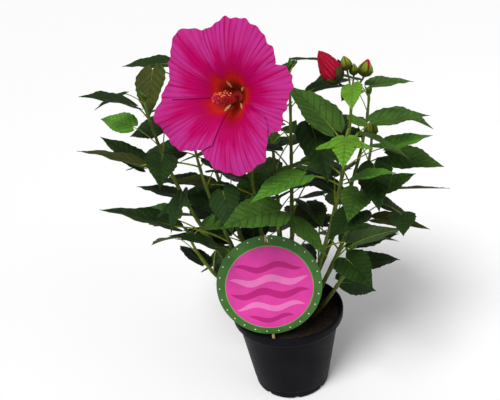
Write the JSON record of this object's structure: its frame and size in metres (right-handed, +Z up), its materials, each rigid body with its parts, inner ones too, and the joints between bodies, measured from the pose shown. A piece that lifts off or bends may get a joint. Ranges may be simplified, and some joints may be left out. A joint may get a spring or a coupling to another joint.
{
  "type": "potted hibiscus shrub",
  "caption": "Leafy hibiscus shrub in a round nursery pot: a clump of slender stems with large pointed leaves, a wide open bloom, a group of buds and a round label on a peg.",
  "frame": {"origin": "centre of the pot's flat underside", "axes": "+Z up, the open bloom looks towards -Y and a little towards -X, the buds stand on the +X side"},
  "size_m": [0.568, 0.4519, 0.6407],
  "materials": {
    "pot": "satin black moulded plastic",
    "soil": "damp dark potting compost",
    "label": "glossy printed plastic card",
    "peg": "bare pale wood",
    "stem": "smooth green stem",
    "leaf": "satin green leaf with pale veins",
    "petal": "soft magenta petal",
    "bud": "crimson bud in a green calyx"
  },
  "bodies": {
    "root": {"pot": "pot", "soil": "soil", "plant_label": "label", "label_peg": "peg", "bloom": "petal", "bud_cluster": "bud", "side_bud": "bud", "stem_bud": "stem", "stem_bloom": "stem", "stem_left_inner": "stem", "stem_left": "stem", "stem_right": "stem", "stem_middle": "stem", "stem_back_right": "stem", "stem_back_left": "stem", "stem_back": "stem", "stem_low_left": "stem", "stem_low_right": "stem", "stem_low_front": "stem", "foliage_bud": "leaf", "foliage_bloom": "leaf", "foliage_left_inner": "leaf", "foliage_left": "leaf", "foliage_right": "leaf", "foliage_middle": "leaf", "foliage_back_right": "leaf", "foliage_back_left": "leaf", "foliage_back": "leaf", "foliage_low_left": "leaf", "foliage_low_right": "leaf", "foliage_low_front": "leaf"}
  },
  "joints": []
}
